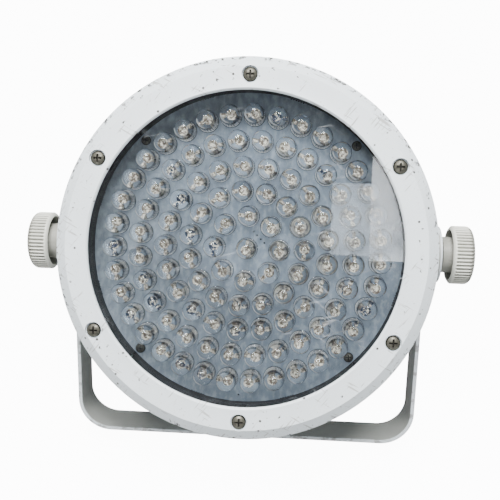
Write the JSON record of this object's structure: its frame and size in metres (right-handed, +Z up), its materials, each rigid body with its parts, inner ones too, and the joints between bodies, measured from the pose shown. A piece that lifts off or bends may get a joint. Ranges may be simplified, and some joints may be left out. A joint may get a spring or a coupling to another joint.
{
  "type": "par can light",
  "caption": "Flat round LED par light with a clear front window, a white cast ring and housing, ribbed clamp knobs and two folding U yokes that form a floor stand.",
  "frame": {"origin": "on the floor, under the middle of the whole object's box", "axes": "+X to the lamp's right as seen from the front, along the knob axis; +Z up; the lamp faces -Y and up"},
  "size_m": [0.2208, 0.1642, 0.1668],
  "materials": {
    "white_casting": "semi-gloss white powder coat on cast aluminium, chipped at the rim",
    "white_bar": "white powder coat on bent flat aluminium bar, worn along the edges",
    "knob_plastic": "ivory moulded plastic, satin",
    "dark_screws": "dark nickel plated steel",
    "bright_steel": "zinc plated steel",
    "clear_window": "clear float glass, lightly scratched",
    "black_rubber": "matt black rubber",
    "black_plastic": "matt black moulded plastic",
    "board_mask": "bluish white solder mask on fibre board",
    "led_epoxy": "water-clear moulded epoxy",
    "green_board": "green solder mask on fibre board",
    "panel_paint": "fine textured black powder coat",
    "contact_metal": "gold plated brass",
    "blade_metal": "nickel plated brass",
    "insert_brass": "turned brass",
    "nylon": "natural nylon",
    "ferrite": "sintered ferrite and lacquered winding",
    "capacitor_film": "moulded box capacitor",
    "capacitor_can": "sleeved aluminium can",
    "heat_sink_metal": "plain extruded aluminium",
    "smoked_acrylic": "dark red acrylic",
    "fuse_glass": "clear glass tube",
    "ribbon_sleeve": "grey flat ribbon"
  },
  "bodies": {
    "head": {"bezel_screws": "dark_screws", "board_carrier": "black_plastic", "board_screws": "dark_screws", "board_spacers": "nylon", "bulk_capacitors": "capacitor_can", "control_board": "green_board", "display_module": "black_plastic", "display_window": "smoked_acrylic", "driver_transistors": "black_plastic", "eye_screws": "bright_steel", "front_bezel": "white_casting", "front_window": "clear_window", "fuse": "fuse_glass", "fuse_holder": "black_plastic", "heat_sink": "heat_sink_metal", "inlet_pins": "blade_metal", "inlet_screws": "dark_screws", "led_board": "board_mask", "led_centre": "led_epoxy", "led_ribbon": "ribbon_sleeve", "led_ring_1": "led_epoxy", "led_ring_2": "led_epoxy", "led_ring_3": "led_epoxy", "led_ring_4": "led_epoxy", "led_ring_5": "led_epoxy", "mains_capacitor": "capacitor_film", "panel_screws": "dark_screws", "pivot_inserts": "insert_brass", "pivot_pads": "black_rubber", "power_board": "green_board", "power_inlet": "black_plastic", "rear_housing": "white_casting", "rear_panel": "panel_paint", "safety_eye": "bright_steel", "signal_in_pins": "contact_metal", "signal_in_socket": "black_plastic", "signal_out_insert": "black_plastic", "signal_out_socket": "black_plastic", "socket_screws": "dark_screws", "tact_switches": "black_plastic", "transformer": "ferrite", "window_gasket": "black_rubber"},
    "inner_yoke": {"inner_yoke": "white_bar", "ear_spacers": "nylon"},
    "outer_yoke": {"outer_yoke": "white_bar"},
    "right_washer": {"right_knob_washer": "bright_steel"},
    "right_knob": {"right_knob": "knob_plastic", "right_knob_stud": "bright_steel"},
    "left_washer": {"left_knob_washer": "bright_steel"},
    "left_knob": {"left_knob": "knob_plastic", "left_knob_stud": "bright_steel"},
    "fuse_cap": {"fuse_cap": "black_plastic"},
    "output_latch": {"signal_out_latch": "bright_steel"},
    "menu_button_1": {"menu_button_1": "black_rubber"},
    "menu_button_2": {"menu_button_2": "black_rubber"},
    "menu_button_3": {"menu_button_3": "black_rubber"},
    "menu_button_4": {"menu_button_4": "black_rubber"}
  },
  "joints": [
    {"name": "inner_yoke_tilt", "type": "hinge", "parent": "head", "child": "inner_yoke", "pos_m": [0, 0.00396, 0.08569], "axis": [1, 0, 0], "range_deg": [-31, 189]},
    {"name": "outer_yoke_tilt", "type": "hinge", "parent": "head", "child": "outer_yoke", "pos_m": [0, 0.00396, 0.08569], "axis": [1, 0, 0], "continuous": true},
    {"name": "right_knob_travel", "type": "slide", "parent": "head", "child": "right_washer", "axis": [1, 0, 0], "range_m": [0, 0.0026]},
    {"name": "right_knob_turn", "type": "hinge", "parent": "right_washer", "child": "right_knob", "pos_m": [0, 0.00396, 0.08569], "axis": [1, 0, 0], "range_deg": [0, 720]},
    {"name": "left_knob_travel", "type": "slide", "parent": "head", "child": "left_washer", "axis": [-1, 0, 0], "range_m": [0, 0.0026]},
    {"name": "left_knob_turn", "type": "hinge", "parent": "left_washer", "child": "left_knob", "pos_m": [0, 0.00396, 0.08569], "axis": [-1, 0, 0], "range_deg": [0, 720]},
    {"name": "menu_button_1_press", "type": "slide", "parent": "head", "child": "menu_button_1", "axis": [0, -0.6664, 0.7456], "range_m": [0, 0.0008], "stiffness_N_per_m": 400, "springref_m": -0.001},
    {"name": "menu_button_2_press", "type": "slide", "parent": "head", "child": "menu_button_2", "axis": [0, -0.6664, 0.7456], "range_m": [0, 0.0008], "stiffness_N_per_m": 400, "springref_m": -0.001},
    {"name": "menu_button_3_press", "type": "slide", "parent": "head", "child": "menu_button_3", "axis": [0, -0.6664, 0.7456], "range_m": [0, 0.0008], "stiffness_N_per_m": 400, "springref_m": -0.001},
    {"name": "menu_button_4_press", "type": "slide", "parent": "head", "child": "menu_button_4", "axis": [0, -0.6664, 0.7456], "range_m": [0, 0.0008], "stiffness_N_per_m": 400, "springref_m": -0.001},
    {"name": "output_latch_press", "type": "slide", "parent": "head", "child": "output_latch", "axis": [0, -0.6664, 0.7456], "range_m": [0, 0.0015], "stiffness_N_per_m": 400, "springref_m": -0.001},
    {"name": "fuse_cap_turn", "type": "hinge", "parent": "head", "child": "fuse_cap", "pos_m": [0.046, 0.03267, 0.06709], "axis": [0, 0.6664, -0.7456], "range_deg": [0, 90]}
  ],
  "couplings": [
    {"joint": "right_knob_travel", "follows": "right_knob_turn", "m_per_rad": 0.00019894},
    {"joint": "left_knob_travel", "follows": "left_knob_turn", "m_per_rad": 0.00019894}
  ]
}
